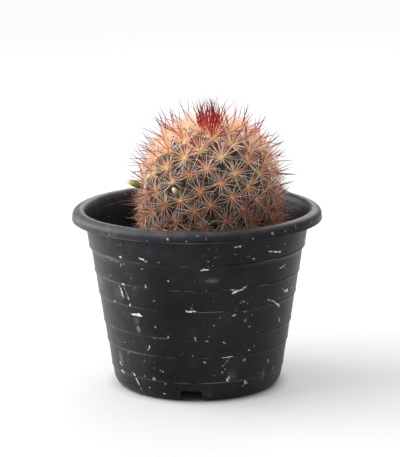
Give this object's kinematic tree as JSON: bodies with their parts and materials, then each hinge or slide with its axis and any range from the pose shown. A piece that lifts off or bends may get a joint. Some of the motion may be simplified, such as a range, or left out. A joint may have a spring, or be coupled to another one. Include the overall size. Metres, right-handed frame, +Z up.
{
  "type": "potted round cactus",
  "caption": "Globe cactus with spiral rows of spine clusters, standing in soil in a stepped round plastic nursery pot.",
  "frame": {"origin": "centre of the pot's foot ring, on the surface that it stands on", "axes": "+Z up along the pot's axis; -Y is the front, the side shown in the picture, with one foot notch almost in its middle; +X is to the right of a viewer at the front"},
  "size_m": [0.112, 0.112, 0.1317],
  "materials": {
    "pot_plastic": "satin, scuffed, with dried soil and water spots",
    "potting_mix": "loose dark peat and grit",
    "stem_flesh": "dull waxy dark green skin",
    "spine_crimson": "glossy dark crimson new spines",
    "spine_pale": "cream radial spines with red-brown central ones",
    "fruit_green": "smooth olive green",
    "bud_cream": "smooth cream over grey-green",
    "flower_brown": "dry and papery"
  },
  "bodies": {
    "root": {"pot": "pot_plastic", "potting_soil": "potting_mix", "cactus_stem": "stem_flesh", "crown_spines": "spine_crimson", "spine_row_01": "spine_pale", "spine_row_02": "spine_pale", "spine_row_03": "spine_pale", "spine_row_04": "spine_pale", "spine_row_05": "spine_pale", "spine_row_06": "spine_pale", "spine_row_07": "spine_pale", "spine_row_08": "spine_pale", "spine_row_09": "spine_pale", "spine_row_10": "spine_pale", "spine_row_11": "spine_pale", "spine_row_12": "spine_pale", "spine_row_13": "spine_pale", "spine_row_14": "spine_pale", "spine_row_15": "spine_pale", "spine_row_16": "spine_pale", "green_fruit": "fruit_green", "pale_bud": "bud_cream", "dried_flower": "flower_brown"}
  },
  "joints": []
}
